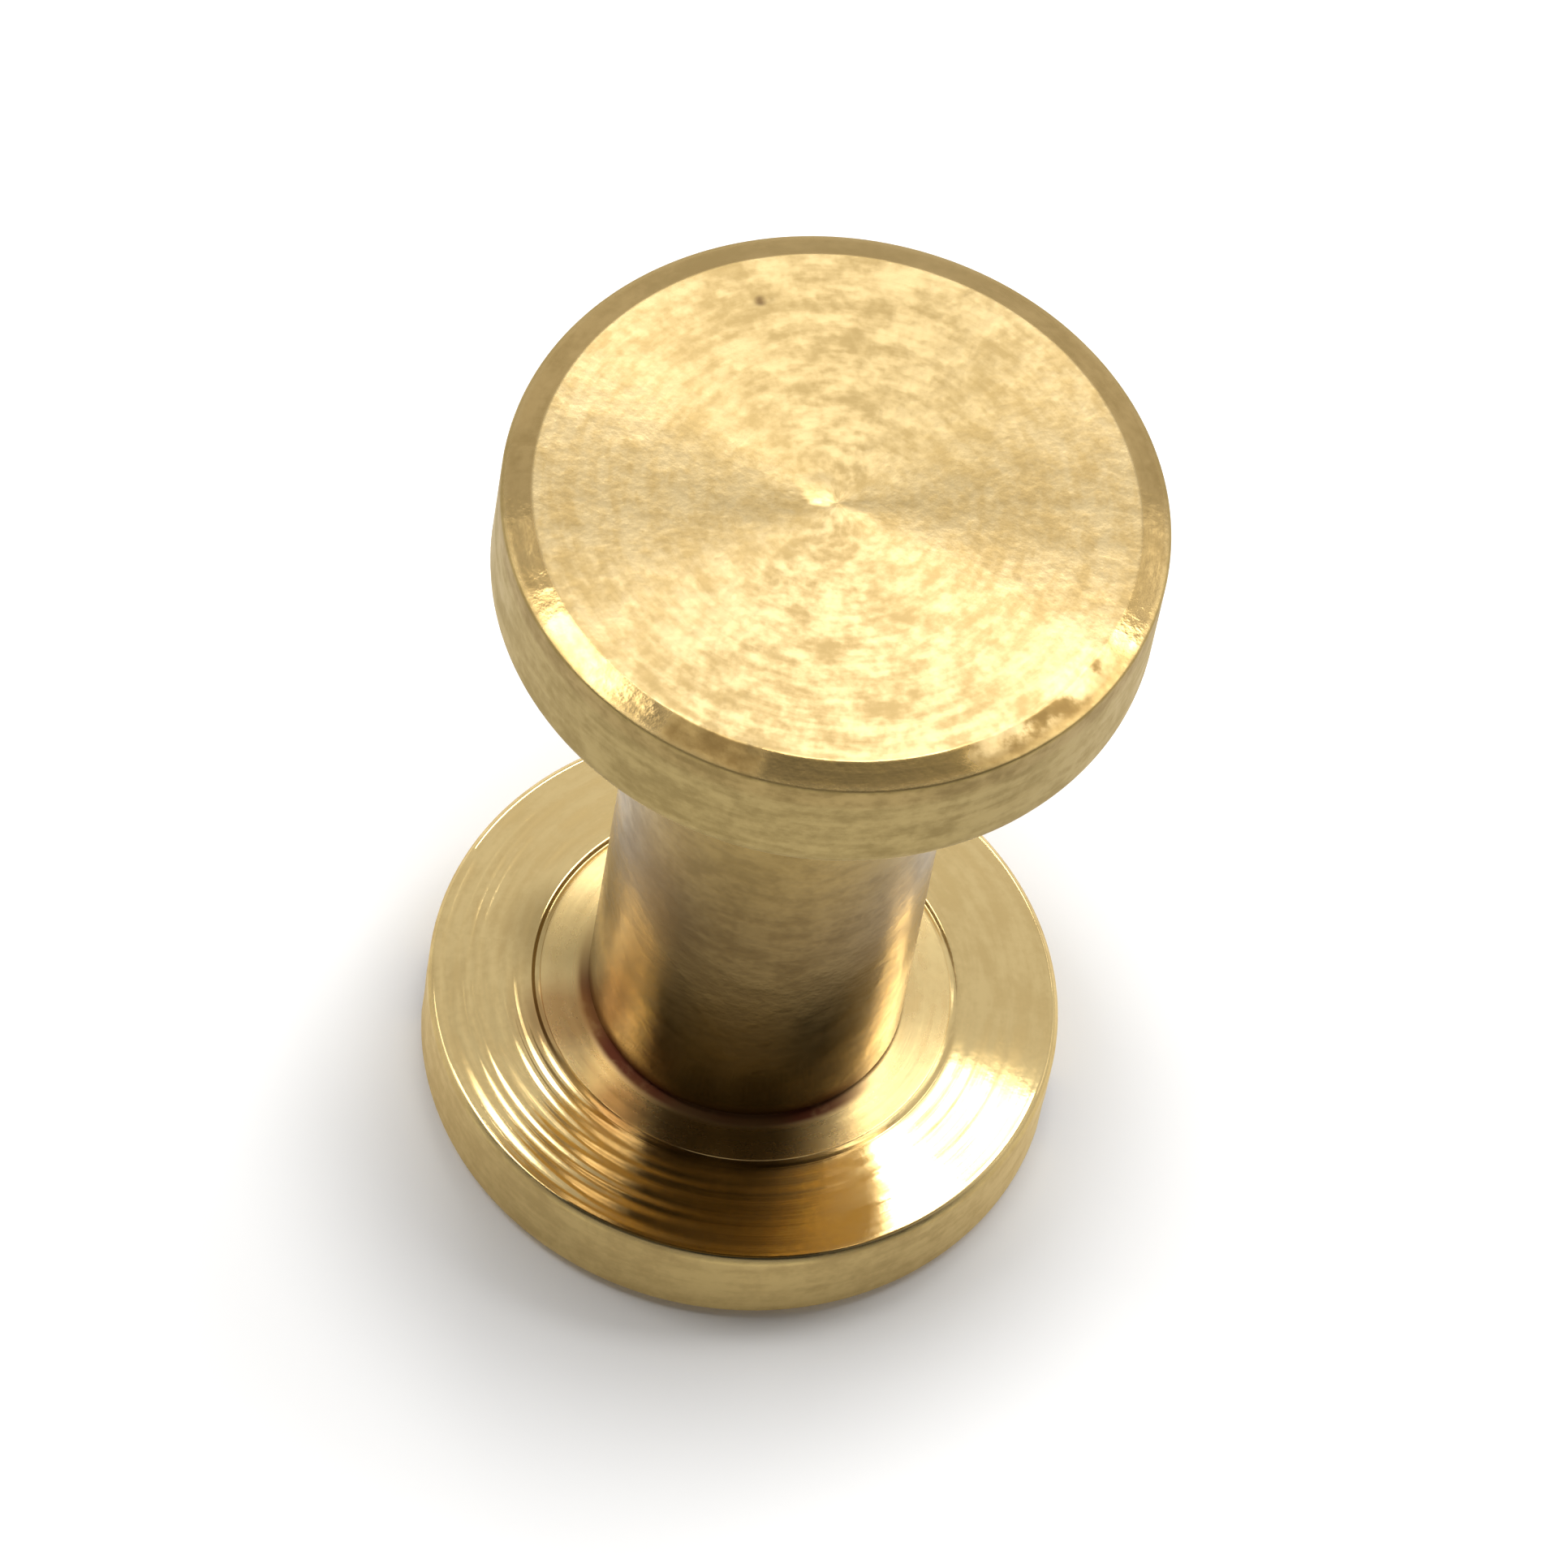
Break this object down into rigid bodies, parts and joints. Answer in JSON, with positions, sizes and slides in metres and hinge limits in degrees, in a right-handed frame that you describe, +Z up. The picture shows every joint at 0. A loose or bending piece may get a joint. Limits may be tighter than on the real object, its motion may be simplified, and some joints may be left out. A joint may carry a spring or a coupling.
{
  "type": "binding barrel screw",
  "caption": "Brass binding screw: a slotted, threaded screw that turns into a headed barrel, to clamp sheets or straps between two flat heads.",
  "frame": {"origin": "centre of the slotted head's outward face, which the screw stands on", "axes": "+Z up the common axis, from the slotted head to the barrel's plain head; the slot runs along X"},
  "size_m": [0.01, 0.01, 0.0153],
  "materials": {
    "turned_brass": "turned, lightly tarnished",
    "aged_brass": "satin, lightly tarnished"
  },
  "bodies": {
    "screw": {"slotted_screw": "turned_brass"},
    "barrel": {"barrel_post": "aged_brass"}
  },
  "joints": [
    {"name": "barrel_unscrew", "type": "slide", "parent": "screw", "child": "barrel", "axis": [0, 0, 1], "range_m": [0, 0.012]}
  ]
}
